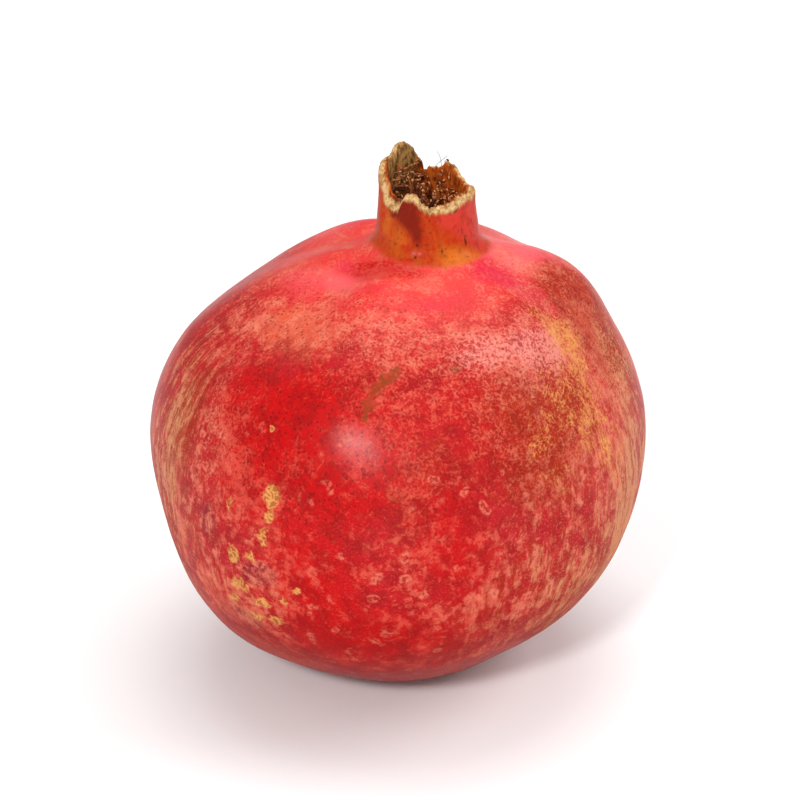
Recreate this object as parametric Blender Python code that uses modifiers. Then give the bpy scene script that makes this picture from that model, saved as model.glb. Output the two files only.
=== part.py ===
"""Pomegranate standing on its stem end with the crown up, in metres, +Z up.

The origin is the middle of the small flat spot that the fruit rests on.
Three pieces: the fruit with its crown, the dried stamens in the crown, and the cut stalk underneath.
"""

import math
import random

import bmesh
import bpy
from mathutils import Vector, noise

mm = 0.001
gap = 0.3 * mm

# The body: a turned egg-round shape, before it is swollen
half_width = 47.5 * mm
upper_height = 44.8 * mm
lower_height = 45.0 * mm
widest_z = 43.4 * mm
rest_radius = 12.0 * mm
rest_blend_radius = 14.6 * mm
shoulder_latitude = 67
body_rings = 22

# The hollow round the stalk, and the socket that the stalk stands in
basin_radius = 7.2 * mm
basin_depth = 2.6 * mm
socket_radius = 3.7 * mm
socket_depth = 5.6 * mm

# The crown: a short tube that stands a little off the middle, with a cup inside
neck_start_z = 85.1 * mm
neck_foot_z = 89.7 * mm
rim_z = 97.0 * mm
neck_radius = 9.2 * mm
rim_outer_radius = 8.5 * mm
rim_inner_radius = 6.8 * mm
rim_rounding = 0.4 * mm
cup_floor_z = 86.4 * mm
cup_floor_radius = 6.0 * mm
cup_flat_radius = 4.8 * mm
cup_rounding = 2.4 * mm
neck_shift = 5.7 * mm
shift_start_z = 66.0 * mm
tube_ribbing = 0.018
tube_oval = 0.03
tube_oval_azimuth = 20

# Height of the torn edge above rim_z, as (azimuth in degrees, height)
torn_edge = (
    (0, 1.1 * mm),
    (25, 0.8 * mm),
    (40, 2.5 * mm),
    (50, 4.0 * mm),
    (60, 4.6 * mm),
    (72, 3.3 * mm),
    (90, 3.3 * mm),
    (98, 3.8 * mm),
    (106, 3.2 * mm),
    (116, 5.6 * mm),
    (130, 8.2 * mm),
    (144, 9.7 * mm),
    (160, 7.9 * mm),
    (182, 7.0 * mm),
    (196, 4.4 * mm),
    (207, 1.5 * mm),
    (226, 0.9 * mm),
    (238, 2.5 * mm),
    (250, 2.7 * mm),
    (260, 0.9 * mm),
    (272, 0.0 * mm),
    (290, 0.3 * mm),
    (320, 1.5 * mm),
)
jag_height = 0.35 * mm
jags_per_radian = 5.0

# The tall lobe of the crown leans in over the cup
flap_azimuth = 128
flap_spread = 34
flap_lean = 2.7 * mm

# Swellings and flats of the body, as (azimuth, latitude, spread in degrees, rise)
swellings = (
    (24, 36, 26, 2.5 * mm),
    (112, 60, 22, 0.6 * mm),
    (142, 50, 22, 2.1 * mm),
    (173, 14, 24, 2.2 * mm),
    (201, -37, 22, 2.0 * mm),
    (187, -13, 20, -0.7 * mm),
    (310, -56, 26, -1.7 * mm),
    (230, -57, 24, -0.2 * mm),
    (7, 12, 22, 1.6 * mm),
    (300, 20, 34, 0.8 * mm),
    (95, 5, 34, -0.3 * mm),
    (60, -35, 28, 1.0 * mm),
    (120, -30, 26, -0.8 * mm),
)
swelling_end_latitude = (68, 79)
swelling_start_z = (0.3 * mm, 11 * mm)

# Six soft ridges run down from the crown
ridge_count = 6
ridge_azimuth = 5
ridge_rise = 0.8 * mm
ridge_valley = 0.35

# Dried stamens and the stub of the style
stamen_count = 34
stamen_radius = 0.28 * mm
anther_radius = 0.48 * mm
stamen_foot = (3.7 * mm, 4.3 * mm)
stamen_height = (5.2 * mm, 9.0 * mm)
stamen_spread = (0.2 * mm, 1.3 * mm)
style_radii = (0.9 * mm, 0.7 * mm, 0.6 * mm, 0.75 * mm)
style_step = 1.3 * mm
pad_radius = 4.8 * mm
pad_thickness = 1.2 * mm

# The stalk, cut off just above the surface that the fruit rests on
stalk_radius = 3.4 * mm
stalk_cut_z = 0.9 * mm
stalk_edge = 0.35 * mm

segments = 72


def smooth(value, low, high):
    share = min(1.0, max(0.0, (value - low) / (high - low)))
    return share * share * (3 - 2 * share)


def bezier(a, b, c, d, count):
    """Points of a cubic curve from a to d, without a itself."""
    points = []
    for i in range(1, count + 1):
        t = i / count
        s = 1 - t
        weights = (s**3, 3 * s * s * t, 3 * s * t * t, t**3)
        corners = tuple(zip(weights, (a, b, c, d)))
        points.append(tuple(sum(w * p[k] for w, p in corners) for k in (0, 1)))
    return points


def body_point(latitude):
    """A point (radius, height) of the body's section, at a latitude in degrees."""
    height = upper_height if latitude > 0 else lower_height
    turn = math.radians(latitude)
    return (half_width * math.cos(turn), widest_z + height * math.sin(turn))


def cup_profile():
    """The inside of the crown, from the middle of the cup's floor up to the rim."""
    wall_foot = (cup_floor_radius + 0.6 * mm, cup_floor_z + cup_rounding)
    inner_rim = (rim_inner_radius, rim_z - rim_rounding)
    points = [(0.0, cup_floor_z), (cup_flat_radius, cup_floor_z)]
    points += bezier(
        points[-1],
        (cup_floor_radius, cup_floor_z),
        (cup_floor_radius + 0.3 * mm, cup_floor_z + 0.25 * cup_rounding),
        wall_foot,
        3,
    )
    points += bezier(
        wall_foot,
        (wall_foot[0] + 0.4 * mm, wall_foot[1] + cup_rounding),
        (inner_rim[0] - 0.2 * mm, inner_rim[1] - cup_rounding),
        inner_rim,
        6,
    )
    return points


def crown_profile():
    """Over the rim and down the outside of the tube to the body's shoulder."""
    outer_rim = (rim_outer_radius, rim_z - rim_rounding)
    points = [
        (rim_inner_radius + rim_rounding, rim_z),
        (rim_outer_radius - rim_rounding, rim_z),
        outer_rim,
    ]
    neck_foot = (neck_radius + 0.5 * mm, neck_foot_z)
    points += bezier(
        outer_rim,
        (rim_outer_radius + 0.1 * mm, outer_rim[1] - 2.6 * mm),
        (neck_radius, neck_foot_z + 2.4 * mm),
        neck_foot,
        6,
    )
    shoulder = body_point(shoulder_latitude)
    above = body_point(shoulder_latitude + 5.7)
    points += bezier(neck_foot, (neck_foot[0] + 0.9 * mm, neck_start_z + 1.6 * mm), above, shoulder, 6)
    return points


def body_profile():
    """Down the body from its shoulder to the flat ring that it rests on."""
    foot_latitude = -math.degrees(math.acos(rest_blend_radius / half_width))
    points = []
    for i in range(1, body_rings + 1):
        share = i / body_rings
        points.append(body_point(shoulder_latitude + (foot_latitude - shoulder_latitude) * share))
    points += bezier(
        points[-1],
        (rest_radius + 1.4 * mm, points[-1][1] * 0.35),
        (rest_radius + 0.7 * mm, 0.0),
        (rest_radius, 0.0),
        2,
    )
    return points


def base_profile():
    """From the flat ring up into the hollow and the stalk's socket."""
    points = [(basin_radius, 0.0)]
    points += bezier(
        points[-1],
        (basin_radius - 0.8 * mm, 0.2 * mm),
        (socket_radius + 1.6 * mm, basin_depth),
        (socket_radius, basin_depth),
        4,
    )
    points += [(socket_radius, socket_depth), (0.0, socket_depth)]
    return points


def torn_height(azimuth):
    """Height of the torn edge above rim_z, with a cosine ease between its points."""
    ends = torn_edge + ((360 + torn_edge[0][0], torn_edge[0][1]),)
    azimuth %= 360
    for (a, low), (b, high) in zip(ends, ends[1:]):
        if azimuth <= b:
            ease = (1 - math.cos(math.pi * (azimuth - a) / (b - a))) / 2
            return low + (high - low) * ease
    return ends[0][1]


def jag(azimuth):
    turn = math.radians(azimuth)
    place = Vector((math.cos(turn), math.sin(turn), 0.0)) * jags_per_radian
    return jag_height * noise.noise(place)


def swelling(direction):
    """Rise of the body's surface in a direction from its middle."""
    rise = 0.0
    for azimuth, latitude, spread, height in swellings:
        turn, lift = math.radians(azimuth), math.radians(latitude)
        centre = Vector(
            (
                math.cos(lift) * math.cos(turn),
                math.cos(lift) * math.sin(turn),
                math.sin(lift),
            )
        )
        apart = math.degrees(centre.angle(direction))
        rise += height * math.exp(-((apart / spread) ** 2))
    return rise


def ridge(azimuth, latitude):
    wave = math.cos(ridge_count * math.radians(azimuth - ridge_azimuth))
    shown = smooth(latitude, 8, 50) * (1 - smooth(latitude, 66, 80))
    return ridge_rise * shown * (wave - ridge_valley)


def body_rise(point, azimuth):
    """How far the body's surface is raised: it swells and is ridged, but its base stays flat."""
    direction = (point - Vector((0, 0, widest_z))).normalized()
    latitude = math.degrees(math.asin(max(-1.0, min(1.0, direction.z))))
    fade = smooth(point.z, *swelling_start_z) * (1 - smooth(latitude, *swelling_end_latitude))
    return direction * (swelling(direction) + ridge(azimuth, latitude)) * fade


def grown(point):
    """Where a point of the plain turned shape lies on the grown fruit."""
    azimuth = math.degrees(math.atan2(point.y, point.x))
    radius = math.hypot(point.x, point.y)
    place = point.copy()
    if radius > 0.001 * mm:
        place += body_rise(point, azimuth)
        # the tube is ribbed and out of round, its edge is torn, and its tall lobe leans in
        up = smooth(point.z, neck_start_z + 1.5 * mm, rim_z)
        rib = tube_ribbing * math.cos(ridge_count * math.radians(azimuth - ridge_azimuth))
        oval = tube_oval * math.cos(2 * math.radians(azimuth - tube_oval_azimuth))
        share = max(0.0, (point.z - cup_floor_z) / (rim_z - cup_floor_z))
        edge = torn_height(azimuth) + jag(azimuth)
        apart = (azimuth - flap_azimuth + 180) % 360 - 180
        lean = flap_lean * share**3 * math.exp(-((apart / flap_spread) ** 2))
        bigger = 1 + up * (rib + oval) - lean / radius * smooth(radius, 0, cup_floor_radius)
        place.x *= bigger
        place.y *= bigger
        place.z += share**1.3 * edge * smooth(radius, 1 * mm, cup_flat_radius)
    place.x += neck_shift * smooth(point.z, shift_start_z, neck_start_z)
    return place


def material(name, colour, roughness):
    made = bpy.data.materials.new(name)
    made.use_nodes = True
    shader = made.node_tree.nodes["Principled BSDF"]
    shader.inputs["Base Color"].default_value = (*colour, 1.0)
    shader.inputs["Roughness"].default_value = roughness
    shader.inputs["Metallic"].default_value = 0.0
    return made


def add_object(name, mesh, collection):
    made = bpy.data.objects.new(name, mesh)
    collection.objects.link(made)
    return made


def applied(obj):
    """Gives the object the mesh that its modifiers make, and clears them."""
    graph = bpy.context.evaluated_depsgraph_get()
    mesh = bpy.data.meshes.new_from_object(obj.evaluated_get(graph))
    obj.modifiers.clear()
    obj.data = mesh
    mesh.name = obj.name


def grow(obj):
    for vertex in obj.data.vertices:
        vertex.co = grown(vertex.co)
    obj.data.update()


def make_fruit(collection):
    """Turns the profile round the axis, then swells and tears it."""
    profile = cup_profile() + crown_profile() + body_profile() + base_profile()
    mesh = bpy.data.meshes.new("fruit")
    edges = [(i, i + 1) for i in range(len(profile) - 1)]
    mesh.from_pydata([(radius, 0, z) for radius, z in profile], edges, [])
    fruit = add_object("fruit", mesh, collection)
    turn = fruit.modifiers.new("turn", "SCREW")
    turn.steps = turn.render_steps = segments
    turn.use_merge_vertices = True
    turn.merge_threshold = 0.01 * mm
    applied(fruit)
    grow(fruit)
    fruit.data.materials.append(material("rind", (0.62, 0.06, 0.05), 0.42))
    fruit.data.shade_smooth()
    return fruit


def tube(name, path, radii, resolution, collection):
    """A closed tube along a path, with a radius at each point, as a mesh object."""
    curve = bpy.data.curves.new(name, "CURVE")
    curve.dimensions = "3D"
    curve.bevel_depth = mm
    curve.bevel_resolution = resolution
    curve.use_fill_caps = True
    spline = curve.splines.new("POLY")
    spline.points.add(len(path) - 1)
    for point, place, radius in zip(spline.points, path, radii):
        point.co = (*place, 1)
        point.radius = radius / mm
    rod = add_object(name, curve, collection)
    graph = bpy.context.evaluated_depsgraph_get()
    mesh = bpy.data.meshes.new_from_object(rod.evaluated_get(graph))
    welded = bmesh.new()
    welded.from_mesh(mesh)
    bmesh.ops.remove_doubles(welded, verts=welded.verts, dist=0.001 * mm)
    welded.to_mesh(mesh)
    welded.free()
    bpy.data.objects.remove(rod)
    return add_object(name, mesh, collection)


def make_stamen(index, draw, collection):
    """One filament that rises beside the cup's wall and ends in its anther."""
    azimuth = math.tau * index / stamen_count + draw.uniform(-0.06, 0.06)
    foot = draw.uniform(*stamen_foot)
    height = draw.uniform(*stamen_height)
    spread = draw.uniform(*stamen_spread)
    twist = draw.uniform(-0.5, 0.5)
    path = []
    for i in range(5):
        share = i / 4
        turn = azimuth + twist * share * share
        radius = foot + spread * math.sin(2.2 * share)
        z = cup_floor_z + 1.5 * gap + height * math.sin(1.45 * share)
        path.append((radius * math.cos(turn), radius * math.sin(turn), z))
    radii = [stamen_radius] * 3 + [anther_radius, 0.75 * anther_radius]
    tube(f"stamen {index}", path, radii, 0, collection)


def make_stamens(collection):
    """A felted pad on the cup's floor with the stamens and the stub of the style rooted in it."""
    draw = random.Random(7)
    pieces = bpy.data.collections.new("stamen pieces")
    bpy.context.scene.collection.children.link(pieces)
    for index in range(stamen_count):
        make_stamen(index, draw, pieces)
    foot_z = cup_floor_z + pad_thickness / 2
    style_path = [(0.2 * mm * i, -0.1 * mm * i * i, foot_z + style_step * i) for i in range(4)]
    tube("style", style_path, style_radii, 2, pieces)

    shape = bmesh.new()
    bmesh.ops.create_cone(
        shape,
        cap_ends=True,
        segments=36,
        radius1=pad_radius,
        radius2=pad_radius * 0.8,
        depth=pad_thickness,
    )
    middle_z = cup_floor_z + gap + pad_thickness / 2
    bmesh.ops.translate(shape, verts=shape.verts, vec=(0, 0, middle_z))
    mesh = bpy.data.meshes.new("stamens")
    shape.to_mesh(mesh)
    shape.free()
    stamens = add_object("stamens", mesh, collection)
    join = stamens.modifiers.new("join", "BOOLEAN")
    join.operation = "UNION"
    join.operand_type = "COLLECTION"
    join.collection = pieces
    join.solver = "MANIFOLD"
    applied(stamens)
    for piece in list(pieces.objects):
        bpy.data.objects.remove(piece)
    bpy.data.collections.remove(pieces)
    grow(stamens)
    stamens.data.materials.append(material("dried_stamens", (0.28, 0.12, 0.04), 0.85))
    stamens.data.shade_smooth()
    return stamens


def make_stalk(collection):
    """The cut end of the stalk, slightly out of round, standing in the socket."""
    top = socket_depth - gap
    shape = bmesh.new()
    bmesh.ops.create_cone(
        shape,
        cap_ends=True,
        segments=28,
        radius1=stalk_radius * 0.97,
        radius2=stalk_radius,
        depth=top - stalk_cut_z,
    )
    bmesh.ops.translate(shape, verts=shape.verts, vec=(0, 0, (top + stalk_cut_z) / 2))
    mesh = bpy.data.meshes.new("stalk")
    shape.to_mesh(mesh)
    shape.free()
    for vertex in mesh.vertices:
        turn = math.atan2(vertex.co.y, vertex.co.x)
        narrow = 1 - 0.05 * (1 + math.cos(3 * turn + 0.6)) / 2
        vertex.co.x *= narrow
        vertex.co.y *= narrow
    stalk = add_object("stalk", mesh, collection)
    round_edges = stalk.modifiers.new("round edges", "BEVEL")
    round_edges.width = stalk_edge
    round_edges.segments = 2
    round_edges.limit_method = "ANGLE"
    stalk.data.materials.append(material("stalk_wood", (0.30, 0.20, 0.11), 0.8))
    return stalk


def main():
    for obj in list(bpy.data.objects):
        bpy.data.objects.remove(obj)
    collection = bpy.data.collections.new("pomegranate")
    bpy.context.scene.collection.children.link(collection)
    make_fruit(collection)
    make_stamens(collection)
    make_stalk(collection)


main()
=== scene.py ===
import math
import random
from types import SimpleNamespace

import bpy
import numpy as np
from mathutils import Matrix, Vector, noise


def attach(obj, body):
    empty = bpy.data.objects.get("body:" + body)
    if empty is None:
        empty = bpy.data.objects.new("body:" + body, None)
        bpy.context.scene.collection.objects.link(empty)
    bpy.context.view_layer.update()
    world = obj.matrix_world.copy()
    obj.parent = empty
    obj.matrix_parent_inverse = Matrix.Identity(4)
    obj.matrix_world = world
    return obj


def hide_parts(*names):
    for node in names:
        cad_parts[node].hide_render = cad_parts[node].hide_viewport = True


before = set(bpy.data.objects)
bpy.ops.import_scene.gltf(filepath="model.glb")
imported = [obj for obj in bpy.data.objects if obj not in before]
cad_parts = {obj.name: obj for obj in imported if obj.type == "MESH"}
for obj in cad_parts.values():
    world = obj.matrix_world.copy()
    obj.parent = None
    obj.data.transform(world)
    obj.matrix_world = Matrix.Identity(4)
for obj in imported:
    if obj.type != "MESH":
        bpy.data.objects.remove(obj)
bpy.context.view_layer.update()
print("frame loaded:", sorted(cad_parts))

mm = 0.001


# Small helpers

# sRGB 0-255 to the linear colour that Blender's sockets take
def rgb(red, green, blue):
    parts = []
    for value in (red, green, blue):
        share = value / 255
        parts.append(share / 12.92 if share <= 0.04045 else ((share + 0.055) / 1.055) ** 2.4)
    return (*parts, 1.0)


def eased(value, low, high):
    share = np.clip((value - low) / (high - low), 0, 1)
    return share * share * (3 - 2 * share)


def bezier(a, b, c, d, count):
    t = np.arange(1, count + 1)[:, None] / count
    a, b, c, d = (np.array(p, float) for p in (a, b, c, d))
    return (1 - t) ** 3 * a + 3 * (1 - t) ** 2 * t * b + 3 * (1 - t) * t * t * c + t**3 * d


# Blender's own noise at many points, -1 to 1
def noiseAt(points, scale, seed=0):
    shift = Vector((17.3 * seed, -9.1 * seed, 5.7 * seed))
    flat = (points * scale).reshape(-1, 3)
    values = [noise.noise(Vector(p) + shift) for p in flat]
    return np.array(values).reshape(points.shape[:-1])


def direction(azimuth, latitude):
    turn, lift = math.radians(azimuth), math.radians(latitude)
    return np.array((math.cos(lift) * math.cos(turn), math.cos(lift) * math.sin(turn), math.sin(lift)))


# 1 at an azimuth and soft to both sides, all in degrees
def hump(azimuths, azimuth, spread):
    apart = (azimuths - azimuth + 180) % 360 - 180
    return np.exp(-((apart / spread) ** 2))


# How much taller the dried parts stand near an azimuth, 0 to 1
def nearness(azimuth, middle):
    return math.cos(math.radians((azimuth - middle) / 2)) ** 4


def addObject(name, data):
    made = bpy.data.objects.new(name, data)
    bpy.context.scene.collection.objects.link(made)
    return made


# Camera, at the photograph's viewing angle

camera = {
    "lens": 100.0,
    "sensorWidth": 36.0,
    "distance": 439.7 * mm,
    "elevation": 26.0,
    "bodyMiddle": (0, 0, 43.4 * mm),
    "aim": (0.4 * mm, 0, 54.6 * mm),
}


def addCamera():
    data = bpy.data.cameras.new("camera")
    data.lens = camera["lens"]
    data.sensor_width = camera["sensorWidth"]
    made = addObject("camera", data)
    lift = math.radians(camera["elevation"])
    away = Vector((0, -math.cos(lift), math.sin(lift))) * camera["distance"]
    made.location = Vector(camera["bodyMiddle"]) + away
    look = Vector(camera["aim"]) - made.location
    made.rotation_euler = look.to_track_quat("-Z", "Y").to_euler()
    bpy.context.scene.camera = made


addCamera()
print("camera placed")


# Shader writing: a socket that takes part in sums, and one method for any other node

class Wire:
    def __init__(self, paint, socket):
        self.paint = paint
        self.socket = socket

    def maths(self, operation, *values):
        return self.paint.node("Math", {"operation": operation}, dict(enumerate(values)))

    def __add__(self, other):
        return self.maths("ADD", self, other)

    def __radd__(self, other):
        return self.maths("ADD", other, self)

    def __sub__(self, other):
        return self.maths("SUBTRACT", self, other)

    def __rsub__(self, other):
        return self.maths("SUBTRACT", other, self)

    def __mul__(self, other):
        return self.maths("MULTIPLY", self, other)

    def __rmul__(self, other):
        return self.maths("MULTIPLY", other, self)


# One material and its nodes
class Paint:
    def __init__(self, name):
        self.material = bpy.data.materials.new(name)
        self.material.use_nodes = True
        self.tree = self.material.node_tree
        self.shader = self.tree.nodes["Principled BSDF"]

    def node(self, kind, settings=None, values=None, output=0):
        made = self.tree.nodes.new("ShaderNode" + kind)
        for name, value in (settings or {}).items():
            setattr(made, name, value)
        for name, value in (values or {}).items():
            self.join(value, made.inputs[name])
        return Wire(self, made.outputs[output])

    def join(self, value, socket):
        if isinstance(value, Wire):
            self.tree.links.new(value.socket, socket)
        else:
            socket.default_value = value

    def feed(self, name, value):
        self.join(value, self.shader.inputs[name])

    def mix(self, low, high, factor):
        return self.node("Mix", {"data_type": "RGBA"}, {0: factor, 6: low, 7: high}, 2)

    def vector(self, operation, *values, scale=None, output=0):
        inputs = dict(enumerate(values))
        if scale is not None:
            inputs["Scale"] = scale
        return self.node("VectorMath", {"operation": operation}, inputs, output)

    # A soft step from 0 at low to 1 at high
    def step(self, value, low, high):
        ends = {"Value": value, 1: low, 2: high}
        return self.node("MapRange", {"interpolation_type": "SMOOTHSTEP"}, ends)

    # Noise with features about size millimetres wide, on places in millimetres
    def noise(self, place, size, detail=2.0, roughness=0.5, colour=False):
        values = {"Vector": place, "Scale": 1 / size, "Detail": detail, "Roughness": roughness}
        return self.node("TexNoise", {}, values, "Color" if colour else 0)

    def cells(self, place, size, feature="F1", randomness=1.0, output=0):
        values = {"Vector": place, "Scale": 1 / size, "Randomness": randomness}
        return self.node("TexVoronoi", {"feature": feature}, values, output)

    def painted(self, name):
        return self.node("Attribute", {"attribute_name": name}, {}, "Fac")

    # Where a point lies on the object, in millimetres
    def places(self):
        own = self.node("TexCoord", {}, {}, "Object")
        return self.vector("SCALE", own, scale=1 / mm)

    def shifted(self, place, jitter, reach):
        return self.vector("ADD", place, self.vector("SCALE", jitter, scale=reach))

    def axis(self, place, index):
        return self.node("SeparateXYZ", {}, {0: place}, index)

    def bump(self, height, strength, distance):
        values = {"Strength": strength, "Distance": distance * mm, "Height": height}
        return self.node("Bump", {}, values)


# The fruit: body, calyx tube and torn crown as one fine skin, sizes in millimetres

fruit = {
    "halfWidth": 47.5,
    "upperHeight": 44.8,
    "lowerHeight": 45.0,
    "widestZ": 43.4,
    "inset": 0.19,
    "restRadius": 12.0,
    "restBlendRadius": 14.6,
    "shoulderLatitude": 67,
    "basinRadius": 7.2,
    "basinDepth": 2.6,
    "socketRadius": 3.7,
    "socketDepth": 5.6,
    "neckStartZ": 85.1,
    "neckFootZ": 89.7,
    "rimZ": 97.0,
    "neckRadius": 9.2,
    "rimOuterRadius": 8.5,
    "rimInnerRadius": 6.8,
    "rimRounding": 0.4,
    "cupFloorZ": 86.4,
    "cupFloorRadius": 6.0,
    "cupFlatRadius": 4.8,
    "cupRounding": 2.4,
    "neckShift": 5.7,
    "shiftStartZ": 66.0,
    "segments": 448,
    "rings": {"cup": 70, "rim": 14, "neck": 80, "body": 190, "base": 30},
    # azimuth, latitude, spread in degrees, rise
    "swellings": (
        (24, 36, 26, 2.5), (112, 60, 22, 0.6), (142, 50, 22, 2.1), (173, 14, 24, 2.2),
        (201, -37, 22, 2), (187, -13, 20, -0.7), (310, -56, 26, -1.7), (230, -57, 24, -0.2),
        (7, 12, 22, 1.6), (300, 20, 34, 0.8), (95, 5, 34, -0.3), (60, -35, 28, 1), (120, -30, 26, -0.8),
    ),
    # heights and latitudes over which the swellings and the plain skin come in or go out
    "swellingStart": (0.3, 11),
    "swellingEnd": (68, 79),
    "skinStart": (0.3, 5),
    "ridges": {"count": 6, "azimuth": 5, "rise": 0.8, "valley": 0.35, "start": (8, 50), "end": (66, 80)},
    "dents": {"size": 13.0, "depth": 0.22, "fineSize": 4.5, "fineDepth": 0.06, "end": (60, 75)},
}

crown = {
    # azimuth, height of the torn edge above rimZ
    "edge": (
        (0, 1.4), (25, 1.4), (40, 2.5), (50, 4), (60, 4.6), (72, 3.3), (90, 3.3), (97, 3.3), (102, 5),
        (109, 5.7), (116, 6.6), (132, 8.4), (150, 9.8), (164, 7.6), (182, 7), (196, 4.4), (207, 1.5),
        (226, 0.9), (238, 2.5), (250, 2.7), (260, 0.9), (272, 0), (290, 0.3), (320, 1.5),
    ),
    # azimuth, how much lower the skin is torn off outside than inside
    "tear": (
        (0, 0.5), (40, 0.6), (90, 0.3), (130, 0.3), (165, 0.5), (182, 0.8), (196, 1.7), (209, 2.8),
        (224, 2.3), (238, 0.7), (270, 0.4), (300, 1), (330, 1.2),
    ),
    # how many to a turn, rise
    "jags": ((5.0, 0.35), (14.0, 0.3), (34.0, 0.22)),
    "tearSwing": {"perTurn": 9.0, "share": 0.5},
    "tearStart": 5.5,
    # rise and how many to a millimetre: two outward, one upward
    "fibres": ((0.28, 0.7), (0.12, 2.2), (0.16, 3.1)),
    "fibreSpread": 0.8,
    "lean": {"azimuth": 128, "spread": 34, "reach": 2.7, "power": 3},
    "bulge": {"azimuth": 186, "spread": 26, "reach": 0.75, "power": 2},
    "ribbing": 0.018,
    "oval": 0.03,
    "ovalAzimuth": 20,
}


# Half the section, from the middle of the cup's floor round to the stalk's socket, and where the rim is
def fruitProfile():
    f = fruit
    rings = f["rings"]
    wallFoot = (f["cupFloorRadius"] + 0.6, f["cupFloorZ"] + f["cupRounding"])
    innerRim = (f["rimInnerRadius"], f["rimZ"] - f["rimRounding"])
    outerRim = (f["rimOuterRadius"], f["rimZ"] - f["rimRounding"])
    flat = (f["cupFlatRadius"], f["cupFloorZ"])
    floor = [(radius, f["cupFloorZ"]) for radius in np.linspace(0.25, f["cupFlatRadius"], 12)]
    third = rings["cup"] // 3
    cup = np.vstack([
        floor,
        bezier(flat, (f["cupFloorRadius"], flat[1]),
               (f["cupFloorRadius"] + 0.3, flat[1] + 0.25 * f["cupRounding"]), wallFoot, third),
        bezier(wallFoot, (wallFoot[0] + 0.4, wallFoot[1] + f["cupRounding"]),
               (innerRim[0] - 0.2, innerRim[1] - f["cupRounding"]), innerRim, rings["cup"] - third),
    ])
    crest = f["rimZ"] + 0.12
    rim = bezier(innerRim, (innerRim[0] + 0.1, crest), (outerRim[0] - 0.1, crest), outerRim, rings["rim"])
    neckFoot = (f["neckRadius"] + 0.5, f["neckFootZ"])
    shoulder, above = (
        (f["halfWidth"] * math.cos(lift), f["widestZ"] + f["upperHeight"] * math.sin(lift))
        for lift in np.radians((f["shoulderLatitude"], f["shoulderLatitude"] + 5.7))
    )
    half = rings["neck"] // 2
    neck = np.vstack([
        bezier(outerRim, (outerRim[0] + 0.1, outerRim[1] - 2.6),
               (f["neckRadius"], f["neckFootZ"] + 2.4), neckFoot, half),
        bezier(neckFoot, (neckFoot[0] + 0.9, f["neckStartZ"] + 1.6), above, shoulder, rings["neck"] - half),
    ])
    footLatitude = -math.degrees(math.acos(f["restBlendRadius"] / f["halfWidth"]))
    latitudes = np.radians(np.linspace(f["shoulderLatitude"], footLatitude, rings["body"] + 1)[1:])
    heights = np.where(latitudes > 0, f["upperHeight"], f["lowerHeight"])
    body = np.stack([f["halfWidth"] * np.cos(latitudes), f["widestZ"] + heights * np.sin(latitudes)], 1)
    rest = (f["restRadius"], 0.0)
    basin = (f["basinRadius"], 0.0)
    inner = (f["socketRadius"], f["basinDepth"])
    base = np.vstack([
        bezier(body[-1], (rest[0] + 1.4, body[-1][1] * 0.35), (rest[0] + 0.7, 0.0), rest, 8),
        bezier(rest, rest, basin, basin, 6),
        bezier(basin, (basin[0] - 0.8, 0.2), (inner[0] + 1.6, inner[1]), inner, rings["base"]),
        bezier(inner, inner, (inner[0], f["socketDepth"]), (inner[0], f["socketDepth"]), 5),
        [(0.3, f["socketDepth"])],
    ])
    crestRing = len(cup) + rings["rim"] // 2
    return np.vstack([cup, rim, neck, body, base]), len(cup), len(cup) + rings["rim"], crestRing


# A table of (azimuth, value) read all round, with soft corners
def roundTable(table, azimuths):
    ends = np.array(table + ((360 + table[0][0], table[0][1]),), float)
    azimuths = azimuths % 360
    index = np.clip(np.searchsorted(ends[:, 0], azimuths, side="right") - 1, 0, len(ends) - 2)
    low, high = ends[index], ends[index + 1]
    share = (azimuths - low[..., 0]) / (high[..., 0] - low[..., 0])
    return low[..., 1] + (high[..., 1] - low[..., 1]) * (1 - np.cos(np.pi * share)) / 2


def swelling(directions):
    total = np.zeros(directions.shape[:-1])
    for azimuth, latitude, spread, rise in fruit["swellings"]:
        apart = np.degrees(np.arccos(np.clip(directions @ direction(azimuth, latitude), -1, 1)))
        total += rise * np.exp(-((apart / spread) ** 2))
    return total


# A half section turned round: radius, height and place of each point
def turned(profile, azimuths):
    turn = np.radians(azimuths)[None, :]
    radius = profile[:, :1] * np.ones_like(turn)
    height = profile[:, 1:] * np.ones_like(turn)
    return radius, height, np.stack([radius * np.cos(turn), radius * np.sin(turn), height], -1)


def fromMiddle(points):
    out = points - (0, 0, fruit["widestZ"])
    directions = out / np.linalg.norm(out, axis=-1, keepdims=True)
    return directions, np.degrees(np.arcsin(np.clip(directions[..., 2], -1, 1)))


# What the swellings, ridges and dents add to the round body
def bodyRise(plain, azimuths, onBody):
    f = fruit
    ridges, dents = f["ridges"], f["dents"]
    directions, latitude = fromMiddle(plain)
    wave = np.cos(ridges["count"] * np.radians(azimuths - ridges["azimuth"])) - ridges["valley"]
    ridge = ridges["rise"] * eased(latitude, *ridges["start"]) * (1 - eased(latitude, *ridges["end"])) * wave
    fade = eased(plain[..., 2], *f["swellingStart"]) * (1 - eased(latitude, *f["swellingEnd"]))
    rise = (swelling(directions) + ridge) * fade
    dented = dents["depth"] * noiseAt(plain, 1 / dents["size"], 1) * (1 - eased(latitude, *dents["end"]))
    dented += dents["fineDepth"] * noiseAt(plain, 1 / dents["fineSize"], 2)
    return directions * (rise + onBody * (dented - f["inset"]))[..., None]


def bent(bend, azimuths, share):
    return bend["reach"] * share ** bend["power"] * hump(azimuths, bend["azimuth"], bend["spread"])


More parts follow.
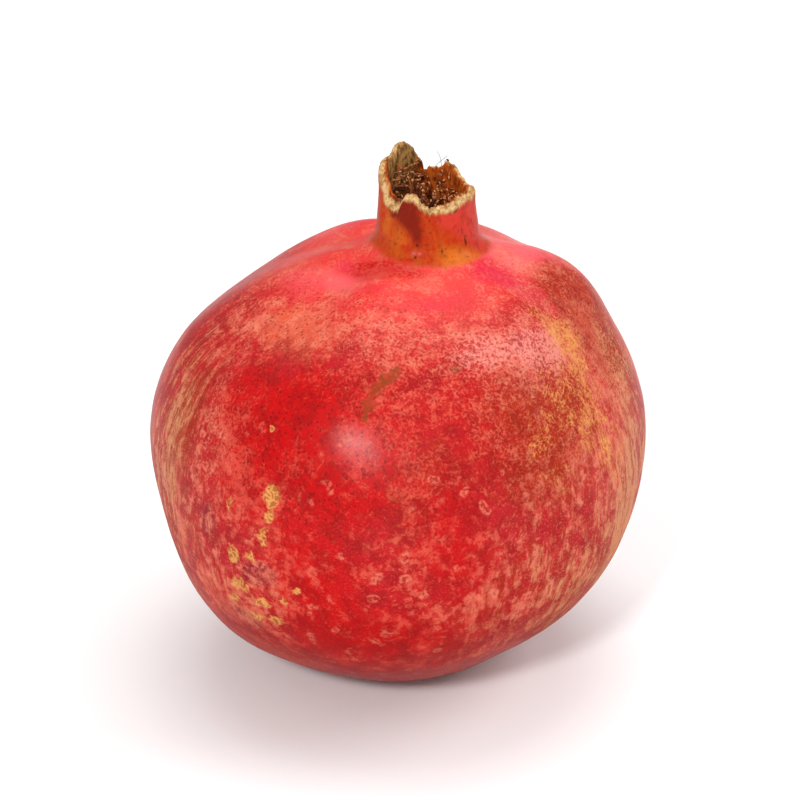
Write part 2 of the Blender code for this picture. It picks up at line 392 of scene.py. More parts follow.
# Makes the plain tube's rim the torn crown: edge, ribs, lean, bulge and fibres
def tearCrown(points, azimuths, radius, height, rings, rim):
    f, c = fruit, crown
    firstRim, lastRim, crestRing = rim
    turn = np.radians(azimuths)
    circle = np.stack([np.cos(turn), np.sin(turn), np.zeros(len(turn))], -1)
    edge = roundTable(c["edge"], azimuths)
    for index, (perTurn, size) in enumerate(c["jags"]):
        edge = edge + size * noiseAt(circle, perTurn, index)
    swing = c["tearSwing"]
    tear = roundTable(c["tear"], azimuths) * (1 + swing["share"] * noiseAt(circle, swing["perTurn"], 7))
    share = np.clip((height - f["cupFloorZ"]) / (f["rimZ"] - f["cupFloorZ"]), 0, None)
    drop = eased(rings, firstRim, lastRim) * tear * eased(height, f["rimZ"] - c["tearStart"], f["rimZ"] - 0.2)
    lift = share**1.3 * edge * eased(radius, 1, f["cupFlatRadius"]) - drop
    rib = c["ribbing"] * np.cos(f["ridges"]["count"] * np.radians(azimuths - f["ridges"]["azimuth"]))
    oval = c["oval"] * np.cos(2 * np.radians(azimuths - c["ovalAzimuth"]))
    inward = bent(c["lean"], azimuths, share) - bent(c["bulge"], azimuths, share)
    up = eased(height, f["neckStartZ"] + 1.5, f["rimZ"])
    bigger = 1 + up * (rib + oval) - inward / radius * eased(radius, 0, f["cupFloorRadius"])
    points[..., :2] *= bigger[..., None]
    points[..., 2] += lift
    nearCrest = np.exp(-(((rings - crestRing) / (c["fibreSpread"] * f["rings"]["rim"])) ** 2))
    (coarse, coarseSize), (fine, fineSize), (upward, upwardSize) = c["fibres"]
    fibre = nearCrest * (coarse * noiseAt(points, coarseSize, 10) + fine * noiseAt(points, fineSize, 11))
    points[..., :2] *= (1 + fibre / np.maximum(radius, 1))[..., None]
    points[..., 2] += nearCrest * upward * noiseAt(points, upwardSize, 12)


# The rings of skin points and what is known of each
def growFruit():
    f = fruit
    profile, firstRim, lastRim, crestRing = fruitProfile()
    azimuths = np.linspace(0, 360, f["segments"], endpoint=False)
    radius, height, plain = turned(profile, azimuths)
    rings = np.arange(len(profile))[:, None] * np.ones_like(radius)
    onBody = (rings > lastRim) * eased(height, *f["skinStart"])
    points = plain + bodyRise(plain, azimuths, onBody)
    tearCrown(points, azimuths, radius, height, rings, (firstRim, lastRim, crestRing))
    points[..., 0] += f["neckShift"] * eased(height, f["shiftStartZ"], f["neckStartZ"])
    directions, latitude = fromMiddle(points)
    steps = np.linalg.norm(np.diff(points, axis=0), axis=-1)
    travelled = np.vstack([np.zeros(len(azimuths)), np.cumsum(steps, axis=0)])
    facts = {
        "azimuth": azimuths * np.ones_like(radius),
        "latitude": latitude,
        "direction": directions,
        "plainHeight": height,
        "plainRadius": radius,
        "fromCrest": travelled - travelled[crestRing],
        "inside": (rings < crestRing).astype(float),
    }
    return points, facts


# A closed skin from rings of points, with a middle point at both ends
def gridMesh(name, points):
    count, segments = points.shape[:2]
    ends = [points[0].mean(0), points[-1].mean(0)]
    vertices = np.vstack([points.reshape(-1, 3), ends]) * mm
    here = np.arange(segments)
    ahead = (here + 1) % segments
    faces = []
    for ring in range(count - 1):
        low, high = ring * segments, (ring + 1) * segments
        faces.append(np.stack([low + here, high + here, high + ahead, low + ahead], 1))
    quads = np.vstack(faces)
    first, last = count * segments, count * segments + 1
    top = [(first, int(a), int(b)) for a, b in zip(here, ahead)]
    base = (count - 1) * segments
    bottom = [(last, int(base + b), int(base + a)) for a, b in zip(here, ahead)]
    mesh = bpy.data.meshes.new(name)
    mesh.from_pydata(vertices.tolist(), [], quads.tolist() + top + bottom)
    mesh.shade_smooth()
    return mesh


# Stores a value for each point of a ring skin, its two end points included
def paintOn(mesh, name, values):
    flat = np.append(values.reshape(-1), (values[0].mean(), values[-1].mean()))
    mesh.attributes.new(name, "FLOAT", "POINT").data.foreach_set("value", flat.astype(np.float32))


# Zones of the skin: azimuth, latitude, half width and height in millimetres, strength, and lean if any
zones = {
    # saturated deep red; the first two blobs, beside the tube's foot, are partly painted shade there
    "deep": (
        (244, 76, 7, 2.6, 1.3), (262, 74, 8, 1.6, 0.9), (248, 33, 12, 11, 0.7), (238, 26, 8, 9, 0.8),
        (254, 20, 12, 9, 0.9), (232, 13, 5, 9, 0.6), (250, -2, 12, 11, 0.8), (283, 4, 8, 12, 0.7),
        (262, 27, 10, 6, 0.5), (262, -22, 20, 9, 0.8), (222, 34, 5, 8, 0.7), (60, 15, 16, 20, 0.9),
        (110, -12, 14, 18, 0.8), (150, 20, 12, 16, 0.7), (20, -20, 12, 14, 0.6),
    ),
    # how much of the skin the pale net covers, more or less than usual
    "cover": (
        (246, 56, 16, 7, 0.14), (222, 52, 12, 8, 0.16), (297, 47, 9, 5, 0.08), (314, 41, 9, 7, 0.18),
        (328, 34, 8, 12, 0.14), (325, 46, 7, 5, 0.2), (318, 18, 12, 10, 0.16), (337, 8, 9, 26, 0.34),
        (338, -12, 8, 16, 0.55, 15), (345, 35, 9, 10, 0.06), (292, 62, 12, 4, -0.12),
        (262, 54, 9, 6, 0.14), (203, 15, 8, 24, 0.3), (216, -5, 8, 12, 0.18), (218, 20, 5, 8, 0.1),
        (236, 4, 6, 10, 0.12), (234, -15, 12, 9, 0.3), (304, -6, 14, 14, 0.12), (304, -22, 14, 10, 0.1),
        (282, -12, 10, 8, 0.1), (267, 30, 8, 6, 0.14), (220, 40, 8, 7, -0.14), (243, 33, 12, 9, -0.14),
        (254, 20, 12, 9, -0.12), (251, -2, 10, 12, -0.14), (238, 26, 8, 8, -0.16),
        (276, 32, 10, 8, -0.1), (284, 22, 10, 12, -0.12), (280, 4, 10, 10, -0.1),
        (262, -24, 22, 8, -0.16), (30, 40, 16, 16, 0.25), (75, 30, 16, 14, 0.25),
        (130, 30, 16, 16, 0.2), (165, -5, 14, 24, 0.35), (100, -10, 12, 20, -0.15),
        (20, 0, 14, 20, 0.3), (70, -25, 18, 16, 0.2),
    ),
    # pale salmon patches: partly the skin's own paler colour and partly painted sheen, the first two most
    "pale": (
        (297, 46, 7, 4.5, 0.9), (319, 42, 6, 5, 1.1, -20), (250, 56, 6, 4, 0.3), (252, 44, 6, 4, 0.3),
        (140, 45, 9, 6, 0.8), (60, 50, 9, 6, 0.6),
    ),
    "gold": (
        (324, 50, 2.5, 2.5, 0.7, -30), (331, 44, 5, 3.5, 0.8, -35), (332, 35, 4.5, 8, 0.75),
        (317, 33, 7, 7, 0.58), (322, 26, 5, 7, 0.7), (307, 24, 5, 6.5, 0.62), (328, 15, 6, 8, 0.6),
        (309, 13, 4, 6, 0.5), (335, 3, 5, 10, 0.6), (293, 49, 2, 1.6, 0.4), (75, 30, 9, 9, 0.7),
        (98, 12, 5, 8, 0.5), (160, 34, 6, 7, 0.5), (223, 58, 5, 3, 0.3), (216, 50, 4, 4, 0.3),
    ),
    "tan": (
        (200, 4, 7, 11, 0.8), (196, -18, 10, 12, 0.9), (304, -8, 10, 14, 0.45), (322, -12, 8, 14, 0.7),
        (203, 20, 5, 10, 0.7), (193, 28, 6, 9, 0.7), (190, -10, 9, 14, 0.9), (340, -4, 8, 14, 1.2),
        (332, -18, 8, 10, 1.3, 20), (318, -29, 9, 6, 1.2), (350, 5, 8, 16, 0.8), (352, 27, 7, 10, 0.6),
        (232, -20, 7, 6, 0.35), (128, -22, 9, 14, 0.8), (40, -5, 8, 14, 0.7), (85, 46, 8, 8, 0.5),
    ),
    # dark russet between the net's lines
    "russet": (
        (349, 43, 7, 10, 1.5), (355, 34, 6, 12, 1.1), (341, 33, 3, 9, 0.6), (318, 28, 12, 12, 0.75),
        (300, 36, 8, 7, 0.45), (303, 18, 10, 10, 0.7), (204, 24, 5, 9, 0.9), (208, 12, 5, 10, 0.8),
        (215, -4, 5, 9, 0.5), (276, 24, 8, 7, 0.5), (270, 12, 5, 6, 0.35), (297, -9, 7, 7, 0.3),
        (313, -15, 8, 9, 0.4), (88, 40, 9, 9, 0.7), (165, 15, 8, 14, 0.6), (30, 10, 9, 14, 0.5),
    ),
    "streaks": (
        (203, 10, 9, 26, 1), (185, 0, 12, 28, 1), (222, -8, 7, 12, 0.8), (305, -10, 14, 16, 0.9),
        (326, -5, 14, 24, 0.9), (300, -30, 20, 12, 0.8), (352, -5, 12, 22, 0.8), (60, -15, 20, 20, 0.9),
        (130, -10, 22, 24, 0.9),
    ),
    # pink along the top edges: partly the skin's own colour and partly painted rim light
    "pink": (
        (26, 58, 13, 9, 0.9), (352, 66, 8, 6, 0.8), (200, 62, 10, 5, 0.4), (225, 70, 8, 4, 0.6),
        (120, 62, 12, 8, 0.5),
    ),
    "rose": (
        (333, 60, 3.4, 7, 1, -28), (326, 66, 4, 4, 0.9), (338, 50, 2.5, 5, 0.8, -20),
        (292, 62, 10, 4, 0.5), (248, 68, 8, 3, 0.45), (212, 74, 4, 3, 0.6), (350, 50, 3, 4, 0.5),
        (212, 38, 4, 5, 0.4), (110, 68, 10, 5, 0.6),
    ),
    "orange": (
        (222, 54, 9, 6, 0.8), (212, 50, 6, 6, 0.6), (238, 50, 9, 7, 0.6), (50, 42, 8, 8, 0.6),
    ),
    "mauve": (
        (222, 2, 3, 6, 0.8), (237, -7, 5, 3, 1.1, 20), (231, -24, 6, 3, 0.6), (205, 29, 3, 5, 0.7),
        (228, -22, 4, 5, 0.4), (170, -20, 6, 8, 0.6),
    ),
    "spots": (
        (288, 43.5, 1.5, 1.1, 1), (264, 60.5, 1, 0.8, 0.9), (228, 46, 0.8, 0.6, 0.7),
        (262, 12, 0.7, 0.7, 0.7), (120, 35, 1.2, 1, 0.9), (40, 20, 1, 0.9, 0.8),
    ),
    "pores": (
        (235, 42, 24, 18, 1), (215, 48, 16, 12, 0.9), (258, 32, 18, 18, 1), (280, 40, 16, 14, 0.6),
        (295, 24, 14, 14, 0.65), (250, 14, 18, 10, 0.5), (320, 30, 14, 14, 0.6), (60, 35, 24, 20, 0.9),
        (130, 38, 24, 18, 0.9),
    ),
}

# Marks on the calyx tube: azimuth, height, half width and height in millimetres, strength, and lean if any
tubeMarks = {
    "tubeMaroon": (
        (231, 96.4, 2.6, 1.8, 0.9), (241, 97, 2.6, 2.4, 1, -20), (250, 94.4, 1.6, 2.8, 0.9, -25),
        (257, 91.6, 0.9, 1.6, 0.6, -10), (130, 93, 2.5, 4, 0.8),
    ),
    "tubeCoral": (
        (320, 94.5, 4.5, 4, 1), (345, 91, 3.5, 5, 1), (290, 95, 3, 2, 0.5), (215, 88.5, 1.5, 2.5, 0.4),
        (60, 92, 5, 4, 0.8),
    ),
    "tubeAmber": (
        (310, 86.6, 3.6, 2.6, 1), (290, 88.5, 2.5, 2.5, 0.5), (236, 91, 2.6, 3.4, 0.55),
        (212, 93.5, 1.5, 4, 0.6), (20, 88, 3, 3, 0.7), (150, 88, 4, 3, 0.7),
    ),
    "tubeBark": (
        (274, 96.6, 1.6, 0.9, 0.9), (288, 97.4, 1.5, 0.9, 0.8), (304, 96.8, 1.8, 1.1, 1),
        (316, 90.2, 0.4, 1.5, 0.9), (313, 92.4, 0.4, 0.9, 0.6), (256, 88.3, 0.34, 0.36, 1.1),
        (257, 90.4, 0.3, 0.34, 1), (285, 89.2, 0.32, 0.55, 0.9, 20), (271, 94.8, 0.3, 0.5, 0.8),
        (298, 91.6, 0.3, 0.4, 0.7), (95, 97, 2.5, 1.2, 0.9), (170, 90, 0.5, 0.6, 1),
    ),
    "darkTip": (
        (105, 102.4, 1.5, 1.7, 1.5), (112, 102, 0.7, 1, 0.9), (48, 101.5, 1.2, 1.5, 0.9),
    ),
}

# Where the masks lie, in degrees and millimetres; a pair says where a mask starts and where it is full
masks = {
    "onBody": (0.3, 4),
    "linesBelow": 72,
    "tubeFoot": {"raised": 1.8, "azimuth": 195, "spread": 40, "heights": (84.3, 88.3), "radii": (15, 10)},
    "tubeReach": 16,
    # azimuth, spread, two heights; the plum mask is painted shade low in the cup's left side
    "crown": {"flap": (150, 38, 93, 98), "plumShade": (200, 65, 99.5, 95.5)},
    "stalkTop": 20,
    "stalkRadii": (17, 4),
}

# Lines on the skin: rise of the surface, and two ends as (azimuth, latitude) with a half width in millimetres
skinLines = {
    "scar": {
        "rise": -0.2,
        "lines": (((270.2, 44.8), (262.3, 38.4), 1.5), ((262.3, 38.4), (261.2, 33.2), 1.4)),
    },
    "crease": {"rise": -0.25, "lines": (((186, 47), (192, 30), 0.5),)},
    "fold": {"rise": -0.18, "lines": (((331, 56), (345, 30), 0.7),)},
}


def zoneStrength(blobs, directions):
    size = fruit["halfWidth"]
    total = np.zeros(directions.shape[:-1])
    for azimuth, latitude, halfWidth, halfHeight, strength, *lean in blobs:
        middle = direction(azimuth, latitude)
        east = direction(azimuth + 90, 0)
        north = np.cross(middle, east)
        turn = math.radians(sum(lean))
        across = (directions @ east) * size
        up = (directions @ north) * size
        a = (across * math.cos(turn) + up * math.sin(turn)) / halfWidth
        b = (up * math.cos(turn) - across * math.sin(turn)) / halfHeight
        facing = eased(directions @ middle, 0.2, 0.5)
        total += strength * facing * np.exp(-(a * a + b * b))
    return total


def tubeStrength(marks, azimuths, heights):
    total = np.zeros(azimuths.shape)
    for azimuth, height, halfWidth, halfHeight, strength, *lean in marks:
        across = np.radians((azimuths - azimuth + 180) % 360 - 180) * fruit["neckRadius"]
        up = heights - height
        turn = math.radians(sum(lean))
        a = (across * math.cos(turn) - up * math.sin(turn)) / halfWidth
        b = (up * math.cos(turn) + across * math.sin(turn)) / halfHeight
        total += strength * np.exp(-(a * a + b * b))
    return total


def lineStrength(start, end, halfWidth, directions):
    size = fruit["halfWidth"]
    a, b = direction(*start) * size, direction(*end) * size
    places = directions * size
    along = np.clip((places - a) @ (b - a) / ((b - a) @ (b - a)), 0, 1)
    apart = np.linalg.norm(places - a - along[..., None] * (b - a), axis=-1)
    taper = 0.45 + 0.55 * np.sin(np.pi * np.clip(along, 0.03, 0.97))
    return np.exp(-((apart / (halfWidth * taper)) ** 2))


def makeFruit():
    m = masks
    points, facts = growFruit()
    azimuth, directions, latitude = facts["azimuth"], facts["direction"], facts["latitude"]
    outside = 1 - facts["inside"]
    onBody = outside * eased(facts["plainHeight"], *m["onBody"])
    values = {name: zoneStrength(blobs, directions) for name, blobs in zones.items()}
    for name, marked in skinLines.items():
        values[name] = np.max([lineStrength(*line, directions) for line in marked["lines"]], 0) * onBody
        points += directions * (marked["rise"] * values[name] * (latitude < m["linesBelow"]))[..., None]
    height = points[..., 2]
    for name in ("latitude", "inside", "fromCrest"):
        values[name] = facts[name]
    foot = m["tubeFoot"]
    above = height - foot["raised"] * hump(azimuth, foot["azimuth"], foot["spread"])
    values["tube"] = eased(above, *foot["heights"]) * eased(facts["plainRadius"], *foot["radii"]) * outside
    for name, marks in tubeMarks.items():
        values[name] = tubeStrength(marks, azimuth, height) * (facts["plainRadius"] < m["tubeReach"])
    for name, (middle, spread, low, high) in m["crown"].items():
        values[name] = hump(azimuth, middle, spread) * eased(height, low, high)
    under = (facts["plainHeight"] < m["stalkTop"]) & (latitude < 0)
    values["nearStalk"] = np.where(under, eased(facts["plainRadius"], *m["stalkRadii"]), 0)
    mesh = gridMesh("fruit_skin", points)
    for name, strengths in values.items():
        paintOn(mesh, name, strengths)
    return addObject("fruit_skin", mesh)


skinColours = {
    "red": rgb(180, 21, 24),
    "brightRed": rgb(188, 10, 14),
    "roseRed": rgb(176, 28, 36),
    "coral": rgb(222, 54, 50),
    "pink": rgb(236, 96, 104),
    "rose": rgb(216, 34, 62),
    "orange": rgb(222, 98, 66),
    "brick": rgb(158, 40, 18),
    "salmon": rgb(212, 96, 76),
    "redLine": rgb(216, 74, 60),
    "lightSalmon": rgb(224, 124, 100),
    # pale salmon: partly painted sheen
    "paleSalmonAndSheen": rgb(232, 142, 126),
    "gold": rgb(228, 164, 84),
    "tan": rgb(212, 150, 104),
    "mauve": rgb(122, 26, 42),
    "pore": rgb(150, 26, 14),
    "maroon": rgb(110, 14, 14),
    "lesion": rgb(220, 158, 88),
    "lesionCentre": rgb(150, 82, 34),
    "scar": rgb(160, 54, 24),
    "bark": rgb(112, 60, 26),
}

tubeColours = {
    "orange": rgb(196, 78, 24),
    "deepOrange": rgb(178, 48, 14),
    "amber": rgb(207, 105, 30),
    "maroon": rgb(118, 24, 12),
    "coral": rgb(200, 58, 44),
    "straw": rgb(214, 178, 124),
    "strawShade": rgb(150, 104, 58),
    "bark": rgb(74, 38, 16),
    "darkBark": rgb(62, 46, 28),
    "rust": rgb(184, 86, 26),
    "darkRust": rgb(122, 48, 16),
    # painted shade deep in the cup
    "plumShade": rgb(60, 18, 26),
    "flap": rgb(162, 120, 68),
    "flapShade": rgb(86, 58, 30),
}

# Yellow lesions: azimuth, latitude, half width and half height in millimetres
lesions = (
    (240.5, 13, 1.7, 2.7), (240, 8.5, 1.2, 1.6), (239, 3, 1.3, 2.4), (230, -4, 1.5, 2.5),
    (235.5, -3, 1.7, 1.1), (231, -12, 2.6, 1.8), (236.5, -15, 2.2, 1.4), (239, -20, 2, 1.2),
    (234, -21, 1.6, 1.4), (228, -17, 1.6, 1.6), (237, 27.5, 0.7, 1.1), (229, 8, 0.9, 1.3),
    (247, -9, 1, 0.8), (243, -13, 1, 1), (101, 18, 1.6, 2.5), (104, 12, 1.3, 1.6), (74, -12, 2, 1.6),
    (139, 2, 1.4, 2.4),
)

# How the net, the pores and the flecks lie on the skin, sizes in millimetres, the rest as shares
weave = {
    "netSize": 0.74,
    "wormSize": 0.6,
    "blotchSize": 1.5,
    "cover": 0.25,
    "patchSwing": 1.2,
    "middlingSwing": 1.25,
    "broadSwing": 1.05,
    "edge": 0.3,
    "wash": 0.27,
    "net": 0.7245,
    "fleckSize": 0.42,
    "darkFlecks": 0.35,
    "lightFlecks": 0.28,
    "poreSpacing": 0.96,
    "poreRadius": 0.28,
    "pore": 0.66,
    "warp": 1.5,
    "streakPull": 0.24,
    "lenticelSpacing": 3.6,
}

# Tints between the net's lines: zone, share of middling and of patchy noise, start, full, strength
tints = (
    ("orange", 0, 1.4, 0.9, 1.8, 0.7),
    ("pink", 0.5, 0, 0.4, 1.0, 1.0),
    ("rose", 0.5, 0, 0.45, 1.0, 1.0),
    ("mauve", 0.6, 0, 0.55, 1.1, 0.9),
)

shine = {
    "specular": 0.03,
    "coat": 0.19,
    "coatRoughness": 0.27,
    "bumpStrength": 0.35,
    "bumpHeight": 0.25,
}


# About where on the skin an azimuth and a latitude are, in millimetres
def skinPlace(azimuth, latitude):
    out = direction(azimuth, latitude)
    height = fruit["upperHeight"] if latitude > 0 else fruit["lowerHeight"]
    radius = 1 / math.sqrt((out[0] ** 2 + out[1] ** 2) / fruit["halfWidth"] ** 2 + out[2] ** 2 / height**2)
    place = out * (radius + float(swelling(out[None, :])[0]))
    return (float(place[0]), float(place[1]), float(place[2] + fruit["widestZ"]))


# Places, noises of falling size and masks that the skin's parts share; each part adds its own masks
def skinGround(p):
    s = SimpleNamespace(place=p.places(), latitude=p.painted("latitude"), deep=p.painted("deep"))
    s.russet = p.painted("russet")
    s.inside = p.painted("inside")
    s.jitter = p.vector("SUBTRACT", p.noise(s.place, 1.8, 3, colour=True), (0.5, 0.5, 0.5))
    s.warped = p.shifted(s.place, s.jitter, weave["warp"])
    s.broad = p.noise(s.place, 17, 3, 0.55)
    s.middling = p.noise(s.warped, 5.5, 3, 0.6)
    s.patchy = p.noise(s.warped, 2.1, 3, 0.62)
    s.grain = p.noise(s.place, 0.8, 2, 0.6)
    s.low = p.step(s.latitude + 24 * (s.middling - 0.5), 26, 4)

    # places drawn out along the meridians, for streaks
    outward = p.vector("NORMALIZE", p.vector("MULTIPLY", s.place, (1, 1, 0)))
    around = p.vector("SCALE", outward, scale=fruit["halfWidth"])
    along = p.node("CombineXYZ", {}, {2: p.axis(s.place, 2) * weave["streakPull"]})
    s.meridian = p.shifted(p.vector("ADD", around, along), s.jitter, 0.5)
    s.streaked = p.step(p.painted("streaks"), 0.1, 0.8)

    # gold in specks, tan in streaks
    goldSpeck = p.step(p.noise(s.warped, 0.85, 3, 0.7), 0.4, 0.58)
    goldZone = p.step(p.painted("gold") + 2.8 * p.noise(s.warped, 2.3, 5, 0.72), 1.75, 2.35)
    s.gold = goldZone * (0.35 + 0.65 * goldSpeck)
    s.tanNoise = p.noise(s.meridian, 1.4, 4, 0.7)
    s.tan = p.step(p.painted("tan") + 2.2 * s.tanNoise, 1.3, 1.95)
    return s


# Skin between the net's lines
def gapColour(p, s):
    c = skinColours
    gap = p.mix(c["roseRed"], c["red"], p.step(s.broad + 0.4 * s.middling, 0.5, 0.85))
    # coral towards the top: partly the skin's own colour near the crown and partly painted rim light along
    # the top edges
    gap = p.mix(gap, c["coral"], p.step(s.latitude + 18 * s.middling, 52, 76))
    gap = p.mix(gap, c["brightRed"], p.step(s.deep + 0.6 * s.middling, 0.45, 1.1))
    for name, middling, patchy, start, full, strength in tints:
        frayed = p.painted(name) + middling * s.middling + patchy * s.patchy
        gap = p.mix(gap, c[name], p.step(frayed, start, full) * strength)
    gap = p.mix(gap, c["brick"], p.step(s.russet + 1.1 * s.patchy, 0.75, 1.4) * 0.92)
    shade = p.step(p.noise(s.warped, 3.2, 3, 0.6), 0.56, 0.4)
    gap = p.mix(gap, c["maroon"], shade * p.step(s.latitude, 62, 45) * 0.35)
    return p.mix(gap, c["brick"], s.gold * p.step(s.patchy, 0.7, 0.4) * 0.85)


# The net's own colour, redder where it is sparse, with pale patches that are partly painted sheen
def lineColour(p, s):
    c = skinColours
    line = p.mix(c["salmon"], c["lightSalmon"], p.step(s.patchy, 0.4, 0.65))
    sparse = p.step(p.painted("cover") - 0.25 * s.deep + 0.3 * (s.middling - 0.5), 0.12, -0.16)
    line = p.mix(line, c["redLine"], sparse * 0.8)
    line = p.mix(line, c["scar"], p.step(s.russet + 0.5 * s.middling, 0.6, 1.5) * 0.4)
    # pale patches: partly the skin's own colour and partly painted sheen
    return p.mix(line, c["paleSalmonAndSheen"], p.step(p.painted("pale") + 0.4 * s.patchy, 0.4, 1.0))


# The net over the skin: worms over fine cells, blotches low on the fruit, streaks at the flanks
def netOver(p, s, gap):
    c, w = skinColours, weave
    cover = p.painted("cover") + w["cover"] + (s.patchy - 0.5) * w["patchSwing"] * (0.5 + 0.5 * s.low)
    cover = cover + (s.middling - 0.5) * w["middlingSwing"] + (s.broad - 0.5) * w["broadSwing"]
    cells = 1.0 - p.cells(s.warped, w["netSize"], "DISTANCE_TO_EDGE") * 2.6
    worms = p.step(p.noise(s.warped, w["wormSize"], 2, 0.55), 0.3, 0.7)
    fine = cells * 0.45 + worms * 0.55
    coarse = p.step(p.noise(s.warped, w["blotchSize"], 4, 0.65), 0.38, 0.62)
    pattern = fine + (coarse - fine) * s.low * 0.7
    streak = p.step(p.noise(s.meridian, 1.5, 3, 0.65), 0.34, 0.66)
    pattern = pattern + (streak - pattern) * s.streaked * 0.65
    bar = 1.0 - cover
    s.net = p.step(pattern, bar - w["edge"], bar + w["edge"]) * (1.0 - s.deep * 0.3)
    plainLine = lineColour(p, s)
    s.line = p.mix(p.mix(plainLine, c["gold"], s.gold * 0.9), c["tan"], s.tan * 0.9)
    wash = p.mix(p.mix(plainLine, c["gold"], s.gold * 0.25), c["tan"], s.tan * 0.6)
    colour = p.mix(gap, wash, p.step(cover, 0.1, 0.85) * w["wash"])
    return p.mix(colour, s.line, s.net * w["net"])


# Dark streaks at the flanks, fine dark and light flecks, brown spots, and pores: dark specks in most cells
def flecksOver(p, s, colour):
    c, w = skinColours, weave
    darkStreak = p.step(p.noise(s.meridian, 1.1, 3, 0.65), 0.5, 0.36)
    colour = p.mix(colour, c["brick"], darkStreak * s.streaked * 0.75)
    fleck = p.noise(s.place, w["fleckSize"], 2, 0.7)
    flecked = 1.0 - p.step(s.latitude, 60, 76)
    dark = p.step(fleck, 0.46, 0.32) * flecked * (w["darkFlecks"] + 0.3 * s.russet)
    light = p.step(fleck, 0.54, 0.68) * flecked * (1.0 - 0.6 * s.deep) * (w["lightFlecks"] + 0.2 * s.low)
    colour = p.mix(p.mix(colour, c["pore"], dark), s.line, light)
    spots = p.step(p.painted("spots") + 0.9 * (s.patchy - 0.5) + 0.5 * (s.grain - 0.5), 0.3, 0.9)
    colour = p.mix(colour, c["bark"], spots * 0.45)
    near = p.shifted(s.place, s.jitter, 0.5)
    spacing = w["poreSpacing"]
    dots = p.cells(near, spacing, "F1", 0.95) + (fleck - 0.5) * 0.3
    pick = p.node("SeparateColor", {}, {0: p.cells(near, spacing, "F1", 0.95, "Color")}, 0)
    radius = w["poreRadius"] / spacing
    zone = 0.2 + 0.8 * p.step(p.painted("pores") + 0.6 * s.middling, 0.4, 1.0)
    pores = p.step(dots, radius * 1.3, radius * 0.5) * p.step(pick, -0.3, 0.35) * zone
    s.pores = pores * p.step(s.latitude, 76, 62)
    return p.mix(colour, p.mix(c["pore"], c["maroon"], s.deep), s.pores * w["pore"])


# Lenticels: ragged pale rings, some with a darker middle
def lenticelsOver(p, s, colour):
    c = skinColours
    s.bent = p.shifted(s.place, s.jitter, 2.2)
    spacing = weave["lenticelSpacing"]
    rings = p.cells(s.bent, spacing) + (s.grain - 0.5) * 0.12
    pick = p.node("SeparateColor", {}, {0: p.cells(s.bent, spacing, output="Color")}, 1)
    shown = p.step(pick, 0.45, 0.8) * p.step(s.latitude, 36, 20)
    ring = p.step(rings, 0.36, 0.22) * (1.0 - p.step(rings, 0.2, 0.08) * 0.75)
    colour = p.mix(colour, c["lightSalmon"], ring * shown * p.step(s.grain, 0.35, 0.6) * 0.62)
    return p.mix(colour, c["brick"], p.step(rings, 0.14, 0.05) * shown * 0.5)


# Yellow lesions: clusters of small ragged cells with olive middles
def lesionsOver(p, s, colour):
    c = skinColours
    blurred = p.shifted(s.place, s.jitter, 1.7)
    reached = None
    for azimuth, latitude, halfWidth, halfHeight in lesions:
        apart = p.vector("SUBTRACT", blurred, skinPlace(azimuth, latitude))
        squeezed = p.vector("MULTIPLY", apart, (1 / halfWidth, 1 / halfWidth, 1 / halfHeight))
        spot = p.step(p.vector("LENGTH", squeezed, output="Value"), 1.5, 0.4)
        reached = reached.maths("MAXIMUM", reached, spot) if reached else spot
    crumbs = p.cells(s.bent, 1.25, "DISTANCE_TO_EDGE") + (s.grain - 0.5) * 0.25
    s.crumb = p.step(reached + 1.7 * (s.patchy - 0.5) + 1.5 * (s.grain - 0.5), 0.4, 0.95)
    yellow = p.mix(c["lesion"], c["lesionCentre"], p.step(crumbs, 0.05, 0.24) * 0.8)
    return p.mix(colour, yellow, s.crumb * 0.85)


# The scar and the creases, painted shade darkening the stem end, and the russet round the stalk
def scarsOver(p, s, colour):
    c = skinColours
    s.scar = p.step(p.painted("scar") + 1.6 * (s.patchy - 0.5) + 0.9 * (s.grain - 0.5), 0.15, 1.05)
    colour = p.mix(colour, c["scar"], s.scar * 0.75)
    colour = p.mix(colour, c["bark"], s.scar * p.step(s.grain, 0.42, 0.62) * 0.6)
    creases = p.step(p.painted("crease") + p.painted("fold") * 0.6, 0.3, 1.0)
    colour = p.mix(colour, c["maroon"], creases * 0.5)
    # painted shade: darker towards the stem end, on the underside
    stemEndShade = p.step(s.latitude + 50 * (s.middling - 0.5), -4, -44)
    colour = p.mix(colour, c["maroon"], stemEndShade * 0.5)
    ruddy = p.mix(c["tan"], c["brick"], p.step(s.patchy + 0.4 * s.grain, 0.85, 0.5))
    ragged = p.painted("nearStalk") + 1.1 * (s.tanNoise - 0.5) + 0.8 * (s.middling - 0.5)
    return p.mix(colour, ruddy, p.step(ragged, 0.2, 1.15) * 0.75)


def tubeOver(p, s, colour):
    t = tubeColours
    tone = p.step(s.patchy + 0.3 * p.noise(s.meridian, 2.2, 3, 0.6), 0.5, 0.85)
    tube = p.mix(t["deepOrange"], t["orange"], tone)
    tube = p.mix(tube, t["amber"], p.step(p.painted("tubeAmber") + 0.8 * s.patchy, 0.5, 1.3))
    tube = p.mix(tube, t["coral"], p.step(p.painted("tubeCoral") + 0.6 * s.patchy, 0.5, 1.1))
    stained = p.painted("tubeMaroon") + 1.8 * s.patchy + 0.7 * s.grain
    tube = p.mix(tube, t["maroon"], p.step(stained, 1.05, 2.2) * 0.92)
    tube = p.mix(tube, t["maroon"], p.step(p.noise(s.place, 1.1, 3, 0.65), 0.56, 0.72) * 0.55)
    onTube = p.painted("tube") + 0.5 * s.patchy + 0.4 * s.middling
    colour = p.mix(colour, tube, p.step(onTube, 0.65, 1.25))
    return p.mix(colour, t["bark"], p.step(p.painted("tubeBark") + s.grain, 0.9, 1.3) * 0.88)
